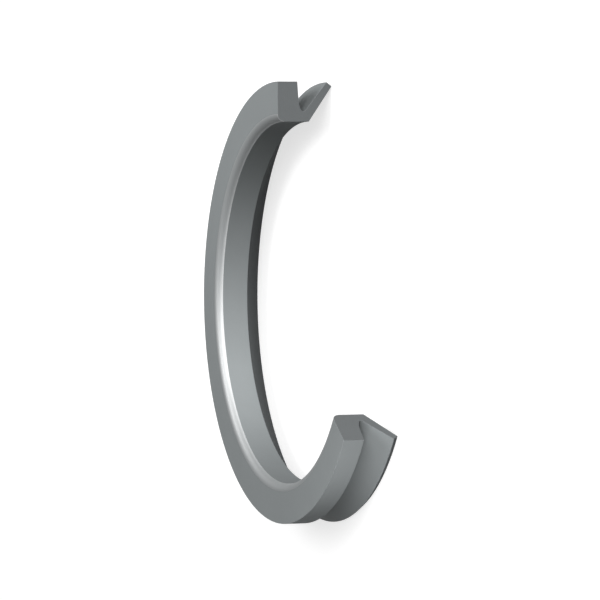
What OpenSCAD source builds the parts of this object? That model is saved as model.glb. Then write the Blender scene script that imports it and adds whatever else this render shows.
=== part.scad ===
// V-ring shaft seal, sectioned.
// One moulding of rubber: a body that grips a shaft, a hinge, and a conical lip that
// wipes a face square to the shaft. A sector is cut out to show the section.
// The ring lies on the edge of its lip, with its axis on Z and its flat heel on top.
// Lengths are in millimetres, angles in degrees.

/* [Ring] */
// Inside diameter, with the ring unstretched
bore_d = 45; // [30:0.5:120]
// Radial height of the body, from the bore to its outside
section_h = 5; // [4.4:0.1:6.5]
// Axial width, from the heel to the edge of the lip, with the lip relaxed
free_w = 7.2; // [6.6:0.1:8.4]
// Angle of the sector that is cut out of the ring
gap_angle = 125.6; // [0:0.1:180]

/* [Body] */
// Axial width of the body at its outside
body_w = 2.65; // [2:0.05:3]
// Axial length of the bore, from the heel to the root of the lip
seat_w = 4.15; // [3.6:0.05:4.7]
// Radius between the heel and the bore
heel_r = 0.95; // [0.1:0.05:1.6]

/* [Groove] */
// Lean of the body's wall inside the groove
wall_lean = 4; // [0:0.5:8]
// Radius that carries this wall round into the hinge
blend_r = 3.2; // [2.4:0.1:4]
// Radius at the bottom of the groove
bottom_r = 0.3; // [0.1:0.05:0.45]
// Rubber between the bottom of the groove and the bore
hinge_h = 1.25; // [0.9:0.05:1.7]

/* [Lip] */
// Height of the lip's edge above the bore
lip_h = 4.4; // [3.8:0.1:5]
// Thickness of the lip at its edge
lip_tip_t = 0.85; // [0.4:0.05:1.1]
// Angle between the two faces of the lip, which thins towards its edge
lip_taper = 4; // [0:0.5:7]

/* [Hidden] */
$fn = 180;
// A slice of a disc is traced to this many radii before the disc trims it
slice_past = 2;
// Two curves that touch run this far into each other, so that they cross cleanly
overlap = 0.002;
// Most of the room beside the lip that the bottom of the groove may take
bottom_share = 0.9;

bore_r = bore_d / 2;
body_r = bore_r + section_h;

// Points of the section are [radius, height above the edge of the lip]
heel_centre = [bore_r + heel_r, free_w - heel_r];
heel_start = [bore_r + heel_r, free_w];
seat_start = [bore_r, free_w - heel_r];
lip_root = [bore_r, free_w - seat_w];
lip_edge = [bore_r + lip_h, 0];
mouth_corner = [body_r, free_w - body_w];

// Leans are measured from a plane square to the axis
lip_lean = atan2(lip_root.y - lip_edge.y, lip_h);
face_lean = lip_lean + lip_taper;
// From the lip's groove face into the groove
face_normal = [sin(face_lean), cos(face_lean)];
// Down the body's wall towards the bore, and from that wall into the groove
wall_in = [-cos(wall_lean), -sin(wall_lean)];
wall_normal = [sin(wall_lean), -cos(wall_lean)];
// The end of the lip is square to its groove face
lip_corner = lip_edge + lip_tip_t * face_normal;

// The disc in the bottom of the groove stands hinge_h above the bore and touches the lip.
// Its centre moves by bottom_step for each millimetre of its radius.
floor_x = bore_r + hinge_h;
floor_y = lip_corner.y - (floor_x - lip_corner.x) * face_normal.x / face_normal.y;
floor_point = [floor_x, floor_y];
bottom_step = [1, (1 - face_normal.x) / face_normal.y];
// The disc never grows past the body's wall
floor_room = (floor_point - mouth_corner) * wall_normal;
bottom_fit = min(bottom_r, bottom_share * floor_room / (1 - bottom_step * wall_normal));
bottom_centre = floor_point + bottom_fit * bottom_step;
face_end = bottom_centre - bottom_fit * face_normal;

// The blend touches the body's wall at wall_end and the bottom disc at blend_end:
// wall_run is the shorter root of |blend_offset + wall_run * wall_in| = blend_r - bottom_fit
blend_offset = mouth_corner + blend_r * wall_normal - bottom_centre;
along = blend_offset * wall_in;
root_term = along * along - blend_offset * blend_offset + (blend_r - bottom_fit) ^ 2;
wall_run = -along - sqrt(root_term);
wall_end = mouth_corner + wall_run * wall_in;
blend_centre = wall_end + blend_r * wall_normal;
blend_end = blend_centre + (bottom_centre - blend_centre) * blend_r / (blend_r - bottom_fit);
// The cut for the blend starts a little way up the wall, where its rim is clear of the wall
blend_start = wall_end - 2 * sqrt(2 * blend_r * overlap) * wall_in;

// The outer strip of a disc, between two points under half a turn apart
module rim_slice(centre, radius, a, b, depth) {
    ray_a = radius * (a - centre) / norm(a - centre);
    ray_b = radius * (b - centre) / norm(b - centre);
    inner = 1 - depth / radius;
    intersection() {
        translate(centre) circle(radius);
        polygon([
            centre + inner * ray_a,
            centre + slice_past * ray_a,
            centre + slice_past * (ray_a + ray_b),
            centre + slice_past * ray_b,
            centre + inner * ray_b,
        ]);
    }
}

// Half of the ring's section: straight between the ends of its flats, then rounded
module section() {
    difference() {
        union() {
            polygon([
                [body_r, free_w],
                heel_start,
                seat_start,
                lip_root,
                lip_edge,
                lip_corner,
                face_end,
                blend_end,
                wall_end,
                mouth_corner,
            ]);
            rim_slice(heel_centre, heel_r, heel_start, seat_start, heel_r / 2);
        }
        rim_slice(blend_centre, blend_r + overlap, blend_start, blend_end, bottom_fit);
        translate(bottom_centre) circle(bottom_fit + 2 * overlap);
    }
}

module v_ring() {
    color([0.50, 0.52, 0.53])
        rotate_extrude(angle = 360 - gap_angle, start = gap_angle / 2) section();
}

v_ring();
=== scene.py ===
"""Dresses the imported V-ring shaft seal: fine surfaces, rubber finishes, studio light and camera."""

import logging
from dataclasses import dataclass, field
from enum import Enum

import bpy
import numpy as np
from mathutils import Matrix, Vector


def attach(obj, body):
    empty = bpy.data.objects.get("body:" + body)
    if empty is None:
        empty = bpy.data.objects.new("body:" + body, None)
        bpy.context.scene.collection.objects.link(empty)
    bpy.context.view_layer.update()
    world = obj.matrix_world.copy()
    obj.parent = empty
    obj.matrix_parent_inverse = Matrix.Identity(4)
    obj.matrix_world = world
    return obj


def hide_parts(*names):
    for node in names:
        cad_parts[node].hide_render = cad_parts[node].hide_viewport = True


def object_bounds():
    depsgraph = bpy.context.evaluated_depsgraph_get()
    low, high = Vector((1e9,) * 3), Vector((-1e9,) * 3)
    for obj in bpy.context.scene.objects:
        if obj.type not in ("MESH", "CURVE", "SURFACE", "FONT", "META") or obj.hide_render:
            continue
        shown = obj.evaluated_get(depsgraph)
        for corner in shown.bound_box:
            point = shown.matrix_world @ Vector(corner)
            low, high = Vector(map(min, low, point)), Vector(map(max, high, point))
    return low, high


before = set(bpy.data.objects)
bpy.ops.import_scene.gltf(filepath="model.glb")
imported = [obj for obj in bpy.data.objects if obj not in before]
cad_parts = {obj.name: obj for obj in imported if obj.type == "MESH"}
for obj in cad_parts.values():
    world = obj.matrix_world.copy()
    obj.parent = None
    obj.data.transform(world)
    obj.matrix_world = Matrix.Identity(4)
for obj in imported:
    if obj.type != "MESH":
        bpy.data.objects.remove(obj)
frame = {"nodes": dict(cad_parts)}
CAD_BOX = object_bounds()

LOG = logging.getLogger("v_ring")
# Metres in a millimetre and in a micrometre
MM = 0.001
UM = 0.000001
QUARTER_TURN = 0.5 * np.pi
FULL_TURN = 2.0 * np.pi
# Points of the outline that are closer than this are the same, in millimetres
SAME_POINT = 1e-6
# Kind of the point that ends a round: that of the run that follows it
AS_NEXT = -1
# Keeps the level side of a light that looks straight down from vanishing
LEAST_RISE = 1e-9
# Patches, grains and specks of the rubber for each metre
CLOUD_SCALE = 160.0
GRAIN_SCALE = 5200.0
SPECK_SCALE = 2600.0
# Octaves of the patches and of the grain, and how strong each of the patches' finer ones is
CLOUD_DETAIL = 4.0
CLOUD_FINENESS = 0.6
GRAIN_DETAIL = 3.0
# Middle of the noise's range
NOISE_MIDDLE = 0.5
# A filler speck fades between these distances from its middle, in parts of the speck's cell
SPECK_CORE = 0.06
SPECK_RIM = 0.22
# Blender's own value for an input of a Math node
MATH_UNSET = 0.5


class Surface(Enum):
    """The kinds of surface on the seal, as material slots of its mesh."""

    MOULDED = 0
    ROUND = 1
    SEALING = 2
    CUT = 3


class Marks(Enum):
    """The ways that the fine tool marks run."""

    ROUND_THE_AXIS = "round the axis"
    ACROSS_THE_CUT = "across the cut"


@dataclass
class Run:
    """A stretch of the section's outline, as points with outward normals.

    Attributes:
        points: radius and height of each point, in millimetres, shape (n, 2).
        normals: unit outward normal at each point, shape (n, 2).
        kinds: the Surface value that starts at each point, or AS_NEXT, shape (n,).
    """

    points: np.ndarray
    normals: np.ndarray
    kinds: np.ndarray

    def of(self, kind: Surface) -> "Run":
        """Return the same run as a surface of the given kind."""
        return Run(self.points, self.normals, np.where(self.kinds == AS_NEXT, AS_NEXT, kind.value))


def unit(v: np.ndarray) -> np.ndarray:
    """Return the vector v at length 1."""
    return v / np.linalg.norm(v)


def flat(a: np.ndarray, b: np.ndarray, steps: int) -> Run:
    """Make a straight run of the outline, with the solid on its left.

    The points are a + t (b - a) for t strictly between 0 and 1, so that the rounds at its ends
    own the end points. The outward normal is the direction turned a quarter turn to the right.

    Args:
        a: start of the run.
        b: end of the run.
        steps: number of equal steps from a to b.

    Returns:
        The inner points of the run.
    """
    t = np.linspace(0.0, 1.0, steps + 1)[1:-1, None]
    d = unit(b - a)
    points = a + t * (b - a)
    normals = np.broadcast_to(np.array([d[1], -d[0]]), points.shape)
    return Run(points, normals, np.full(len(points), Surface.MOULDED.value))


def arc(centre: np.ndarray, radius: float, start: float, turn: float, steps: int) -> Run:
    """Make a round run of the outline.

    The points are centre + radius (cos a, sin a) for a from start to start + turn. The outward
    normal points away from the centre on a left-hand turn and towards it on a right-hand one.

    Args:
        centre: centre of the round.
        radius: its radius.
        start: angle of its first point, in radians.
        turn: angle that it turns through, positive for a left-hand turn.
        steps: number of equal steps along it.

    Returns:
        The points of the run, with both ends.
    """
    a = start + turn * np.linspace(0.0, 1.0, steps + 1)
    ray = np.stack([np.cos(a), np.sin(a)], axis=1)
    kinds = np.append(np.full(steps, Surface.MOULDED.value), AS_NEXT)
    return Run(centre + radius * ray, ray * np.sign(turn), kinds)


def corner(before: np.ndarray, at: np.ndarray, after: np.ndarray, radius: float, steps: int) -> Run:
    """Round an outside corner of the outline.

    The centre lies on the corner's bisector, radius / sin(half the inside angle) from it, and the
    arc runs between the two points where the round touches the flats.

    Args:
        before: a point on the flat that leads to the corner.
        at: the corner.
        after: a point on the flat that leaves it.
        radius: radius of the round.
        steps: number of steps along it.

    Returns:
        The points of the round.
    """
    back, on = unit(before - at), unit(after - at)
    half = 0.5 * np.arccos(np.clip(back @ on, -1.0, 1.0))
    centre = at + unit(back + on) * radius / np.sin(half)
    first = at + back * radius / np.tan(half) - centre
    return arc(centre, radius, np.arctan2(first[1], first[0]), np.pi - 2.0 * half, steps)


def joined(runs: list[Run]) -> Run:
    """Join runs into a closed outline.

    A point that the next one repeats is dropped, and a point that is left as AS_NEXT takes the
    kind of the point after it.

    Args:
        runs: the runs, in order.

    Returns:
        The outline.
    """
    points = np.concatenate([r.points for r in runs])
    normals = np.concatenate([r.normals for r in runs])
    kinds = np.concatenate([r.kinds for r in runs])
    fresh = np.linalg.norm(np.roll(points, -1, axis=0) - points, axis=1) > SAME_POINT
    kept = kinds[fresh]
    kept = np.where(kept == AS_NEXT, np.roll(kept, -1), kept)
    return Run(points[fresh], normals[fresh], kept)


@dataclass
class RingSection:
    """Half of the ring's section, in millimetres and degrees, in the plane of radius and height.

    Attributes:
        bore_r: radius of the bore.
        section_h: radial height of the body.
        free_w: axial width, from the heel to the edge of the lip.
        body_w: axial width of the body at its outside.
        seat_w: axial length of the bore.
        heel_r: radius between the heel and the bore.
        wall_lean: lean of the body's wall inside the groove.
        blend_r: radius that carries this wall round into the hinge.
        bottom_r: radius at the bottom of the groove.
        hinge_h: rubber between the bottom of the groove and the bore.
        lip_h: height of the lip's edge above the bore.
        lip_tip_t: thickness of the lip at its edge.
        lip_taper: angle between the two faces of the lip.
        edge_r: round on the sharp edges.
        root_r: round between the bore and the lip.
        smooth_turn: part of the heel's round, from the heel on, that has the smooth skin.
        heel_steps: steps across the heel.
        smooth_steps: steps round the smooth part of the heel's round.
        plain_steps: steps round the rest of it.
        seat_steps: steps along the bore.
        lip_steps: steps along each face of the lip.
        tip_steps: steps across the lip's end.
        groove_steps: steps round the bottom of the groove, and round its blend.
        wall_steps: steps along the body's wall, and along its outside.
        edge_steps: steps round each edge.
    """

    bore_r: float = 22.5
    section_h: float = 5.0
    free_w: float = 7.2
    body_w: float = 2.65
    seat_w: float = 4.15
    heel_r: float = 0.95
    wall_lean: float = 4.0
    blend_r: float = 3.2
    bottom_r: float = 0.3
    hinge_h: float = 1.25
    lip_h: float = 4.4
    lip_tip_t: float = 0.85
    lip_taper: float = 4.0
    edge_r: float = 0.04
    root_r: float = 0.08
    smooth_turn: float = 83.0
    heel_steps: int = 12
    smooth_steps: int = 15
    plain_steps: int = 1
    seat_steps: int = 10
    lip_steps: int = 14
    tip_steps: int = 4
    groove_steps: int = 10
    wall_steps: int = 8
    edge_steps: int = 4

    def outline(self) -> Run:
        """Trace the closed section with the solid on the left.

        The flats and tangent arcs are those of the solid: the heel, its round, the bore, the
        lip's sealing face, end and groove face, the round bottom of the groove, the blend that
        touches it from inside, the body's wall and the outside. Each sharp edge is rounded.

        Returns:
            The whole outline, in order.
        """
        body_r = self.bore_r + self.section_h
        heel_out = np.array([body_r, self.free_w])
        heel_in = np.array([self.bore_r + self.heel_r, self.free_w])
        round_at = np.array([self.bore_r + self.heel_r, self.free_w - self.heel_r])
        seat_top = np.array([self.bore_r, self.free_w - self.heel_r])
        root = np.array([self.bore_r, self.free_w - self.seat_w])
        edge = np.array([self.bore_r + self.lip_h, 0.0])
        mouth = np.array([body_r, self.free_w - self.body_w])

        # Normals into the groove: from the lip's face and from the body's wall
        lean = np.arctan2(root[1], self.lip_h) + np.radians(self.lip_taper)
        face_n = np.array([np.sin(lean), np.cos(lean)])
        tip = edge + self.lip_tip_t * face_n
        wall = np.radians(self.wall_lean)
        wall_in = np.array([-np.cos(wall), -np.sin(wall)])
        wall_n = np.array([np.sin(wall), -np.cos(wall)])

        # The bottom disc touches the lip's face; the blend touches the wall, and the disc inside it
        bottom_x = self.bore_r + self.hinge_h + self.bottom_r
        bottom_y = tip[1] + (self.bottom_r - (bottom_x - tip[0]) * face_n[0]) / face_n[1]
        bottom = np.array([bottom_x, bottom_y])
        face_end = bottom - self.bottom_r * face_n
        offset = mouth + self.blend_r * wall_n - bottom
        along = offset @ wall_in
        root_term = along**2 - offset @ offset + (self.blend_r - self.bottom_r) ** 2
        wall_end = mouth - (along + np.sqrt(root_term)) * wall_in
        blend = wall_end + self.blend_r * wall_n

        to_bottom = bottom - blend
        a_face = np.arctan2(-face_n[1], -face_n[0])
        a_join = np.arctan2(to_bottom[1], to_bottom[0])
        a_wall = np.arctan2(-wall_n[1], -wall_n[0])
        bottom_turn = -((a_face - a_join) % FULL_TURN)
        blend_turn = -((a_join - a_wall) % FULL_TURN)
        smooth = np.radians(self.smooth_turn)
        plain_start, plain_turn = QUARTER_TURN + smooth, QUARTER_TURN - smooth

        runs = [
            flat(heel_out, heel_in, self.heel_steps),
            arc(round_at, self.heel_r, QUARTER_TURN, smooth, self.smooth_steps).of(Surface.ROUND),
            arc(round_at, self.heel_r, plain_start, plain_turn, self.plain_steps),
            flat(seat_top, root, self.seat_steps),
            corner(seat_top, root, edge, self.root_r, self.edge_steps),
            flat(root, edge, self.lip_steps).of(Surface.SEALING),
            corner(root, edge, tip, self.edge_r, self.edge_steps).of(Surface.SEALING),
            flat(edge, tip, self.tip_steps).of(Surface.SEALING),
            corner(edge, tip, face_end, self.edge_r, self.edge_steps),
            flat(tip, face_end, self.lip_steps),
            arc(bottom, self.bottom_r, a_face, bottom_turn, self.groove_steps),
            arc(blend, self.blend_r, a_join, blend_turn, self.groove_steps),
            flat(wall_end, mouth, self.wall_steps),
            corner(wall_end, mouth, heel_out, self.edge_r, self.edge_steps),
            flat(mouth, heel_out, self.wall_steps),
            corner(mouth, heel_out, heel_in, self.edge_r, self.edge_steps),
        ]
        return joined(runs)


def math_node(
    tree: bpy.types.NodeTree, operation: str, second: float = MATH_UNSET, third: float = MATH_UNSET
) -> bpy.types.Node:
    """Add a Math node to a tree.

    Args:
        tree: the tree.
        operation: Blender's name for what the node does.
        second: value of its second input, where nothing is linked to it.
        third: value of its third input, where nothing is linked to it.

    Returns:
        The node.
    """
    node = tree.nodes.new("ShaderNodeMath")
    node.operation = operation
    node.inputs[1].default_value = second
    node.inputs[2].default_value = third
    return node


def effect_group(
    name: str, inputs: tuple[str, ...], outputs: tuple[str, ...]
) -> tuple[bpy.types.NodeTree, bpy.types.Node, bpy.types.Node]:
    """Start a shader node group whose sockets are all plain values.

    Args:
        name: name of the group.
        inputs: names of its inputs.
        outputs: names of its outputs.

    Returns:
        The group, its input node and its output node.
    """
    tree = bpy.data.node_groups.new(name, "ShaderNodeTree")
    for socket in inputs:
        tree.interface.new_socket(socket, in_out="INPUT", socket_type="NodeSocketFloat")
    for socket in outputs:
        tree.interface.new_socket(socket, in_out="OUTPUT", socket_type="NodeSocketFloat")
    return tree, tree.nodes.new("NodeGroupInput"), tree.nodes.new("NodeGroupOutput")


def tone_cloud_group() -> bpy.types.NodeTree:
    """Build the group that clouds a rubber's tone: broad, faint patches over the surface.

    Returns:
        The group, with inputs Size and Spread and output Tone, about 1.
    """
    tree, given, result = effect_group("rubber_tone_cloud", ("Size", "Spread"), ("Tone",))
    place = tree.nodes.new("ShaderNodeTexCoord")
    cloud = tree.nodes.new("ShaderNodeTexNoise")
    cloud.inputs["Detail"].default_value = CLOUD_DETAIL
    cloud.inputs["Roughness"].default_value = CLOUD_FINENESS
    centred = math_node(tree, "SUBTRACT", second=NOISE_MIDDLE)
    tone = math_node(tree, "MULTIPLY_ADD", third=1.0)
    tree.links.new(place.outputs["Object"], cloud.inputs["Vector"])
    tree.links.new(given.outputs["Size"], cloud.inputs["Scale"])
    tree.links.new(cloud.outputs["Fac"], centred.inputs[0])
    tree.links.new(centred.outputs[0], tone.inputs[0])
    tree.links.new(given.outputs["Spread"], tone.inputs[1])
    tree.links.new(tone.outputs[0], result.inputs["Tone"])
    return tree


def grain_group() -> bpy.types.NodeTree:
    """Build the group for a rubber's fine grain: close noise, and specks of filler.

    Returns:
        The group, with inputs Size and Speck Size and outputs Height and Speck.
    """
    tree, given, result = effect_group("rubber_grain", ("Size", "Speck Size"), ("Height", "Speck"))
    place = tree.nodes.new("ShaderNodeTexCoord")
    close = tree.nodes.new("ShaderNodeTexNoise")
    close.inputs["Detail"].default_value = GRAIN_DETAIL
    speck = tree.nodes.new("ShaderNodeTexVoronoi")
    near = tree.nodes.new("ShaderNodeMapRange")
    near.inputs["From Min"].default_value = SPECK_CORE
    near.inputs["From Max"].default_value = SPECK_RIM
    near.inputs["To Min"].default_value = 1.0
    near.inputs["To Max"].default_value = 0.0
    tree.links.new(place.outputs["Object"], close.inputs["Vector"])
    tree.links.new(place.outputs["Object"], speck.inputs["Vector"])
    tree.links.new(given.outputs["Size"], close.inputs["Scale"])
    tree.links.new(given.outputs["Speck Size"], speck.inputs["Scale"])
    tree.links.new(speck.outputs["Distance"], near.inputs["Value"])
    tree.links.new(close.outputs["Fac"], result.inputs["Height"])
    tree.links.new(near.outputs["Result"], result.inputs["Speck"])
    return tree


@dataclass(frozen=True)
class RubberFinish:
    """A finish of the grey rubber.

    Attributes:
        name: name of the material.
        colour: linear base colour.
        roughness: mean roughness.
        roughness_spread: how far the tone cloud moves the roughness.
        tone_spread: how far the tone cloud moves the colour.
        speck_tone: how much the filler specks lighten the colour.
        grain_depth: depth of the grain's bump, in metres.
        specular: level of the clear reflection.
        ior: index of refraction of the skin.
        ribs: waves for each metre of the tool marks that the surface keeps.
        rib_depth: depth of those marks, in metres.
        marks: the way that the marks run.
    """

    name: str
    colour: tuple[float, float, float]
    roughness: float
    roughness_spread: float
    tone_spread: float
    speck_tone: float
    grain_depth: float
    specular: float
    ior: float
    ribs: float
    rib_depth: float
    marks: Marks = Marks.ROUND_THE_AXIS

    def material(self, cloud: bpy.types.NodeTree, grain: bpy.types.NodeTree) -> bpy.types.Material:
        """Make the material.

        Args:
            cloud: the tone cloud group.
            grain: the grain group.

        Returns:
            The finished material.
        """
        mat = bpy.data.materials.new(self.name)
        mat.use_nodes = True
        tree = mat.node_tree
        skin = tree.nodes["Principled BSDF"]
        skin.inputs["Specular IOR Level"].default_value = self.specular
        skin.inputs["IOR"].default_value = self.ior
        tone = tree.nodes.new("ShaderNodeGroup")
        tone.node_tree = cloud
        tone.inputs["Size"].default_value = CLOUD_SCALE
        tone.inputs["Spread"].default_value = self.tone_spread
        fine = tree.nodes.new("ShaderNodeGroup")
        fine.node_tree = grain
        fine.inputs["Size"].default_value = GRAIN_SCALE
        fine.inputs["Speck Size"].default_value = SPECK_SCALE
        self.tint(tree, skin, tone, fine)
        self.gloss(tree, skin, tone)
        self.relief(tree, skin, fine)
        return mat

    def tint(
        self, tree: bpy.types.NodeTree, skin: bpy.types.Node, tone: bpy.types.Node, fine: bpy.types.Node
    ) -> None:
        """Give the skin the rubber's colour times the tone cloud, a little lighter at the specks.

        Args:
            tree: the material's nodes.
            skin: its shader.
            tone: its tone cloud.
            fine: its grain.
        """
        lift = math_node(tree, "MULTIPLY_ADD", second=self.speck_tone)
        colour = tree.nodes.new("ShaderNodeMix")
        colour.data_type = "RGBA"
        colour.blend_type = "MULTIPLY"
        colour.inputs["Factor"].default_value = 1.0
        colour.inputs["A"].default_value = (*self.colour, 1.0)
        tree.links.new(fine.outputs["Speck"], lift.inputs[0])
        tree.links.new(tone.outputs["Tone"], lift.inputs[2])
        tree.links.new(lift.outputs[0], colour.inputs["B"])
        tree.links.new(colour.outputs["Result"], skin.inputs["Base Color"])

    def gloss(self, tree: bpy.types.NodeTree, skin: bpy.types.Node, tone: bpy.types.Node) -> None:
        """Let the roughness follow the tone cloud about its mean.

        Args:
            tree: the material's nodes.
            skin: its shader.
            tone: its tone cloud.
        """
        least = self.roughness - self.roughness_spread
        rough = math_node(tree, "MULTIPLY_ADD", second=self.roughness_spread, third=least)
        tree.links.new(tone.outputs["Tone"], rough.inputs[0])
        tree.links.new(rough.outputs[0], skin.inputs["Roughness"])

    def relief(self, tree: bpy.types.NodeTree, skin: bpy.types.Node, fine: bpy.types.Node) -> None:
        """Add the grain to the tool marks as a bump.

        The marks are sine waves of the height on a cut, and elsewhere of the height plus the
        distance from the axis, so that they run round the ring on every one of its faces.

        Args:
            tree: the material's nodes.
            skin: its shader.
            fine: its grain.
        """
        place = tree.nodes.new("ShaderNodeTexCoord")
        split = tree.nodes.new("ShaderNodeSeparateXYZ")
        tree.links.new(place.outputs["Object"], split.inputs[0])
        across = split.outputs["Z"]
        if self.marks is Marks.ROUND_THE_AXIS:
            flat_place = tree.nodes.new("ShaderNodeCombineXYZ")
            radius = tree.nodes.new("ShaderNodeVectorMath")
            radius.operation = "LENGTH"
            reach = math_node(tree, "ADD")
            tree.links.new(split.outputs["X"], flat_place.inputs["X"])
            tree.links.new(split.outputs["Y"], flat_place.inputs["Y"])
            tree.links.new(flat_place.outputs[0], radius.inputs[0])
            tree.links.new(radius.outputs["Value"], reach.inputs[0])
            tree.links.new(split.outputs["Z"], reach.inputs[1])
            across = reach.outputs[0]
        phase = math_node(tree, "MULTIPLY", second=self.ribs * FULL_TURN)
        wave = math_node(tree, "SINE")
        height = math_node(tree, "MULTIPLY_ADD", second=self.rib_depth / self.grain_depth)
        bump = tree.nodes.new("ShaderNodeBump")
        bump.inputs["Strength"].default_value = 1.0
        bump.inputs["Distance"].default_value = self.grain_depth
        tree.links.new(across, phase.inputs[0])
        tree.links.new(phase.outputs[0], wave.inputs[0])
        tree.links.new(wave.outputs[0], height.inputs[0])
        tree.links.new(fine.outputs["Height"], height.inputs[2])
        tree.links.new(height.outputs[0], bump.inputs["Height"])
        tree.links.new(bump.outputs["Normal"], skin.inputs["Normal"])


FINISHES = {
    Surface.MOULDED: RubberFinish(
        name="moulded_rubber",
        colour=(0.236, 0.253, 0.257),
        roughness=0.82,
        roughness_spread=0.10,
        tone_spread=0.10,
        speck_tone=0.03,
        grain_depth=4.0 * UM,
        specular=0.12,
        ior=1.50,
        ribs=5500.0,
        rib_depth=0.4 * UM,
    ),
    Surface.ROUND: RubberFinish(
        name="smooth_round_rubber",
        colour=(0.232, 0.248, 0.252),
        roughness=0.52,
        roughness_spread=0.06,
        tone_spread=0.08,
        speck_tone=0.02,
        grain_depth=2.0 * UM,
        specular=1.0,
        ior=2.25,
        ribs=5500.0,
        rib_depth=0.2 * UM,
    ),
    # The lip's sealing face and end: a rougher skin, and a darker colour that is painted shade
    Surface.SEALING: RubberFinish(
        name="lip_rubber_painted_shade",
        colour=(0.171, 0.182, 0.186),
        roughness=0.85,
        roughness_spread=0.10,
        tone_spread=0.10,
        speck_tone=0.06,
        grain_depth=10.0 * UM,
        specular=0.12,
        ior=1.50,
        ribs=4200.0,
        rib_depth=1.0 * UM,
    ),
    # The cut faces: a coarser grain with tool marks across them, and a darker colour that is painted
    # shade
    Surface.CUT: RubberFinish(
        name="cut_rubber_painted_shade",
        colour=(0.183, 0.195, 0.199),
        roughness=0.65,
        roughness_spread=0.12,
        tone_spread=0.12,
        speck_tone=0.10,
        grain_depth=12.0 * UM,
        specular=0.15,
        ior=1.50,
        ribs=3600.0,
        rib_depth=1.2 * UM,
        marks=Marks.ACROSS_THE_CUT,
    ),
}


@dataclass
class VRing:
    """The rubber moulding: the section carried round the axis, ending in two cut faces.

    Attributes:
        section: the section, in millimetres.
        gap_angle: degrees of the sector that is cut out.
        sectors: steps round the ring.
        cut_edge_r: round on the edges of the cuts, in millimetres.
        cut_steps: steps round these edges.
    """

    section: RingSection = field(default_factory=RingSection)
    gap_angle: float = 125.6
    sectors: int = 380
    cut_edge_r: float = 0.035
    cut_steps: int = 4

    def surface(self) -> tuple[np.ndarray, np.ndarray, np.ndarray, np.ndarray]:
        """Carry the section round the axis.

        A point of the outline at radius r and height z goes to (r cos a, r sin a, z), for a from
        half the gap round to a full turn less half the gap. At each end the edge of the cut is
        rounded: with b from a quarter turn down to 0, the outline is drawn in by e (1 - cos b)
        along its normal, at a distance e (1 - sin b) from the plane of the cut. The surface's
        normal there is cos b times the outline's plus sin b times the cut's.

        Returns:
            Points in metres and unit normals, both (rows, columns, 3), the quads of the grid, and
            the Surface value of each quad.
        """
        line = self.section.outline()
        half_gap = np.radians(0.5 * self.gap_angle)
        b = np.linspace(QUARTER_TURN, 0.0, self.cut_steps + 1)
        draw, away = self.cut_edge_r * (1.0 - np.cos(b)), self.cut_edge_r * (1.0 - np.sin(b))
        mid = np.linspace(half_gap, FULL_TURN - half_gap, self.sectors + 1)[1:-1]

        first = np.full(b.size, half_gap)
        base = np.concatenate([first, mid, -first[::-1] + FULL_TURN])
        inset = np.concatenate([draw, np.zeros(mid.size), draw[::-1]])
        shift = np.concatenate([away, np.zeros(mid.size), -away[::-1]])
        lift = np.concatenate([np.sin(b), np.zeros(mid.size), np.sin(b[::-1])])
        side = np.concatenate([-np.ones(b.size), np.zeros(mid.size), np.ones(b.size)])

        flat_points = line.points[None, :, :] - inset[:, None, None] * line.normals[None, :, :]
        r, z = flat_points[..., 0], flat_points[..., 1]
        out = np.sqrt(r**2 - shift[:, None] ** 2)
        ca, sa = np.cos(base)[:, None], np.sin(base)[:, None]
        points = np.stack([out * ca - shift[:, None] * sa, out * sa + shift[:, None] * ca, z], axis=-1)

        nr = line.normals[None, :, 0] * np.sqrt(1.0 - lift**2)[:, None]
        nz = line.normals[None, :, 1] * np.sqrt(1.0 - lift**2)[:, None]
        nt = (lift * side)[:, None] * np.ones_like(nr)
        normals = np.stack([nr * ca - nt * sa, nr * sa + nt * ca, nz], axis=-1)

        rows, cols = r.shape
        grid = np.arange(rows * cols).reshape(rows, cols)
        ahead = np.roll(grid, -1, axis=1)
        quads = np.stack([grid[:-1], grid[1:], ahead[1:], ahead[:-1]], axis=-1).reshape(-1, 4)
        kinds = np.tile(line.kinds, (rows - 1, 1))
        return points * MM, normals, quads, kinds.ravel()

    def build(self) -> bpy.types.Object:
        """Make the mesh: the carried section and a flat face on each cut.

        Returns:
            The object, riding on the root body in place of the solid.
        """
        points, normals, quads, kinds = self.surface()
        rows, cols = points.shape[:2]
        start_face = np.arange(cols)
        end_face = start_face[::-1] + (rows - 1) * cols
        mesh = bpy.data.meshes.new("v_ring_rubber")
        faces = [*quads.tolist(), start_face.tolist(), end_face.tolist()]
        mesh.from_pydata(points.reshape(-1, 3), [], faces)
        slots = np.append(kinds, [Surface.CUT.value] * 2).astype(np.int32)
        mesh.polygons.foreach_set("material_index", slots)
        mesh.polygons.foreach_set("use_smooth", np.ones(len(faces), dtype=bool))
        mesh.update()
        mesh.normals_split_custom_set_from_vertices(normals.reshape(-1, 3).tolist())
        ring = bpy.data.objects.new("v_ring_rubber", mesh)
        bpy.context.scene.collection.objects.link(ring)
        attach(ring, "root")
        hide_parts("v_ring")
        return ring

    def dress(self, ring: bpy.types.Object) -> None:
        """Give each kind of surface its finish.

        Args:
            ring: the object that build made.
        """
        cloud, grain = tone_cloud_group(), grain_group()
        for kind in Surface:
            ring.data.materials.append(FINISHES[kind].material(cloud, grain))


def direction(azimuth: float, elevation: float) -> np.ndarray:
    """Return the unit vector at an azimuth and elevation in degrees."""
    a, e = np.radians(azimuth), np.radians(elevation)
    return np.array([np.cos(e) * np.cos(a), np.cos(e) * np.sin(a), np.sin(e)])


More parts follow.
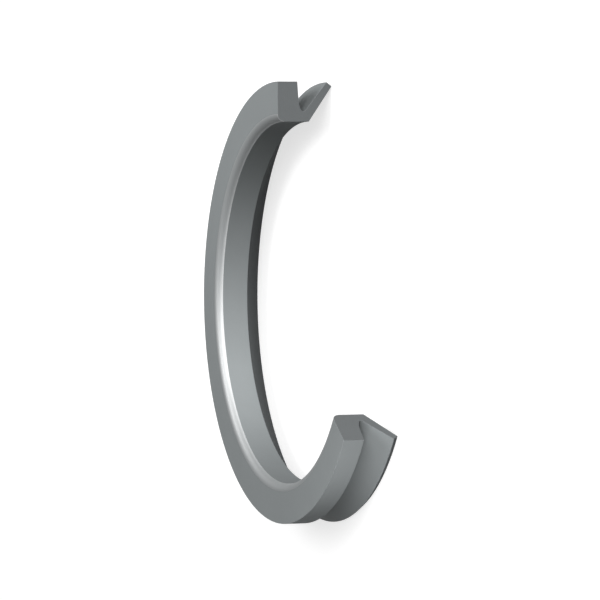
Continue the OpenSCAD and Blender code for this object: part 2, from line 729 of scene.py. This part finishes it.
def turned(back: np.ndarray, roll: float, at: np.ndarray) -> Matrix:
    """Make the matrix of a camera or light that looks against back.

    Args:
        back: unit vector from the subject to the camera or light.
        roll: degrees that it is turned about its own axis.
        at: its place, in metres.

    Returns:
        The matrix, whose columns are right, up, back and place.
    """
    level = unit(np.array([-back[1], back[0], LEAST_RISE]))
    upright = np.cross(back, level)
    c, s = np.cos(np.radians(roll)), np.sin(np.radians(roll))
    right, up = c * level + s * upright, c * upright - s * level
    return Matrix([[right[i], up[i], back[i], at[i]] for i in range(3)] + [[0.0, 0.0, 0.0, 1.0]])


@dataclass(frozen=True)
class SoftBox:
    """A soft studio light that faces a point of the ring, and that the camera doesn't see.

    Attributes:
        name: name of the light.
        azimuth: degrees round from +X.
        elevation: degrees above the floor.
        distance: metres from the point that it faces.
        width: level side of the light, in metres.
        height: its other side, in metres.
        level: how bright it makes a white card at that point that faces it, where 1 is white.
        aim_mm: the point that it faces, in millimetres.
    """

    name: str
    azimuth: float
    elevation: float
    distance: float
    width: float
    height: float
    level: float
    aim_mm: tuple[float, float, float] = (0.0, 0.0, 0.0)

    def place(self) -> None:
        """Make the light, of pi^2 level distance^2 watts, and turn it to its point of the ring."""
        lamp = bpy.data.lights.new(self.name, "AREA")
        lamp.shape = "RECTANGLE"
        lamp.size = self.width
        lamp.size_y = self.height
        lamp.energy = np.pi**2 * self.level * self.distance**2
        holder = bpy.data.objects.new(self.name, lamp)
        holder.visible_camera = False
        bpy.context.scene.collection.objects.link(holder)
        back = direction(self.azimuth, self.elevation)
        holder.matrix_world = turned(back, 0.0, np.array(self.aim_mm) * MM + back * self.distance)


# Two large boxes light the whole ring. A small box and three cards close to it give the heel, the
# bore and the lip the photograph's tones. Two low cards behind it light only its outside.
BOXES = (
    SoftBox(
        name="front_box", azimuth=2.0, elevation=24.0, distance=2.0,
        width=1.6, height=1.1, level=0.92,
    ),
    SoftBox(
        name="top_box", azimuth=35.0, elevation=70.0, distance=2.0,
        width=0.9, height=0.9, level=0.30,
    ),
    SoftBox(
        name="heel_box", azimuth=102.0, elevation=65.0, distance=0.09,
        width=0.06, height=0.06, level=0.47, aim_mm=(10.0, 23.0, 7.0),
    ),
    SoftBox(
        name="bore_card", azimuth=6.0, elevation=5.0, distance=0.008,
        width=0.008, height=0.004, level=0.52, aim_mm=(-22.4, -2.4, 4.8),
    ),
    SoftBox(
        name="bore_side_card", azimuth=-18.0, elevation=5.0, distance=0.010,
        width=0.008, height=0.004, level=0.36, aim_mm=(-21.4, 7.0, 4.8),
    ),
    SoftBox(
        name="lip_card", azimuth=-75.0, elevation=26.0, distance=0.020,
        width=0.014, height=0.010, level=0.76, aim_mm=(10.0, -25.5, 3.0),
    ),
    SoftBox(
        name="rear_card", azimuth=150.0, elevation=0.0, distance=0.045,
        width=0.06, height=0.006, level=0.50, aim_mm=(-23.8, 13.8, 3.4),
    ),
    SoftBox(
        name="rear_side_card", azimuth=190.0, elevation=0.0, distance=0.045,
        width=0.06, height=0.006, level=0.50, aim_mm=(-27.1, -4.8, 3.4),
    ),
)


@dataclass
class Studio:
    """The floor, the lights and the camera.

    Attributes:
        floor_half: half of the floor's side, in metres.
        floor_tone: grey of the floor as it is seen.
        floor_glow: light that is added to it there, to make it white.
        floor_bounce: grey of the floor as it lights the ring.
        world_level: level of the even light from all round.
        lens: focal length of the camera, in millimetres.
        sensor: width of its picture, in millimetres.
        clip_start: nearest distance that it sees, in metres.
        aim_mm: the point that it looks at, in millimetres.
        azimuth: degrees round from +X that it stands at.
        elevation: degrees above the floor.
        distance_mm: millimetres from its point.
        roll: degrees that it is turned about its own axis.
        boxes: the soft lights.
    """

    floor_half: float = 3.0
    floor_tone: float = 0.52
    floor_glow: float = 0.70
    floor_bounce: float = 0.06
    world_level: float = 0.10
    lens: float = 304.37
    sensor: float = 36.0
    clip_start: float = 0.01
    aim_mm: tuple[float, float, float] = (-1.530, 1.063, 3.600)
    azimuth: float = -25.450
    elevation: float = 20.724
    distance_mm: float = 633.82
    roll: float = -90.807
    boxes: tuple[SoftBox, ...] = BOXES

    def floor_finish(self) -> bpy.types.Material:
        """Make the floor's material: white to the camera and in reflections, darker as a lamp.

        Returns:
            The material.
        """
        mat = bpy.data.materials.new("floor_white")
        mat.use_nodes = True
        tree = mat.node_tree
        tree.nodes.clear()
        seen = tree.nodes.new("ShaderNodeBsdfDiffuse")
        seen.inputs["Color"].default_value = (self.floor_tone,) * 3 + (1.0,)
        glow = tree.nodes.new("ShaderNodeEmission")
        glow.inputs["Strength"].default_value = self.floor_glow
        bright = tree.nodes.new("ShaderNodeAddShader")
        bounce = tree.nodes.new("ShaderNodeBsdfDiffuse")
        bounce.inputs["Color"].default_value = (self.floor_bounce,) * 3 + (1.0,)
        path = tree.nodes.new("ShaderNodeLightPath")
        either = math_node(tree, "MAXIMUM")
        any_of = math_node(tree, "MAXIMUM")
        pick = tree.nodes.new("ShaderNodeMixShader")
        out = tree.nodes.new("ShaderNodeOutputMaterial")
        tree.links.new(seen.outputs[0], bright.inputs[0])
        tree.links.new(glow.outputs[0], bright.inputs[1])
        tree.links.new(path.outputs["Is Camera Ray"], either.inputs[0])
        tree.links.new(path.outputs["Is Glossy Ray"], either.inputs[1])
        tree.links.new(either.outputs[0], any_of.inputs[0])
        tree.links.new(path.outputs["Is Transmission Ray"], any_of.inputs[1])
        tree.links.new(any_of.outputs[0], pick.inputs["Fac"])
        tree.links.new(bounce.outputs[0], pick.inputs[1])
        tree.links.new(bright.outputs[0], pick.inputs[2])
        tree.links.new(pick.outputs[0], out.inputs["Surface"])
        return mat

    def floor(self) -> bpy.types.Object:
        """Lay the pale floor under the ring, with the ring's shadow on it.

        Returns:
            The floor.
        """
        h, z = self.floor_half, float(CAD_BOX[0][2])
        mesh = bpy.data.meshes.new("floor")
        mesh.from_pydata([(-h, -h, z), (h, -h, z), (h, h, z), (-h, h, z)], [], [(0, 1, 2, 3)])
        mesh.materials.append(self.floor_finish())
        ground = bpy.data.objects.new("floor", mesh)
        bpy.context.scene.collection.objects.link(ground)
        return ground

    def light(self) -> None:
        """Set the even light from all round and the soft boxes."""
        world = bpy.data.worlds.new("studio_air")
        world.use_nodes = True
        sky = world.node_tree.nodes["Background"]
        sky.inputs["Color"].default_value = (1.0, 1.0, 1.0, 1.0)
        sky.inputs["Strength"].default_value = self.world_level
        bpy.context.scene.world = world
        for box in self.boxes:
            box.place()

    def camera(self) -> bpy.types.Object:
        """Set the camera at the photograph's viewing angle.

        Returns:
            The camera.
        """
        lens = bpy.data.cameras.new("camera")
        lens.lens = self.lens
        lens.sensor_width = self.sensor
        lens.clip_start = self.clip_start
        eye = bpy.data.objects.new("camera", lens)
        bpy.context.scene.collection.objects.link(eye)
        back = direction(self.azimuth, self.elevation)
        at = (np.array(self.aim_mm) + back * self.distance_mm) * MM
        eye.matrix_world = turned(back, self.roll, at)
        bpy.context.scene.camera = eye
        bpy.context.scene.view_settings.view_transform = "Standard"
        return eye


def main() -> None:
    """Build the ring, dress it and set the studio round it."""
    logging.basicConfig(level=logging.INFO, format="%(message)s")
    LOG.info("solids in the frame: %s", ", ".join(frame["nodes"]))
    studio = Studio()
    LOG.info("camera: %s", studio.camera().name)
    seal = VRing()
    ring = seal.build()
    seal.dress(ring)
    LOG.info("piece %s: %d faces", ring.name, len(ring.data.polygons))
    LOG.info("stage: %s", studio.floor().name)
    studio.light()


if __name__ == "__main__":
    main()
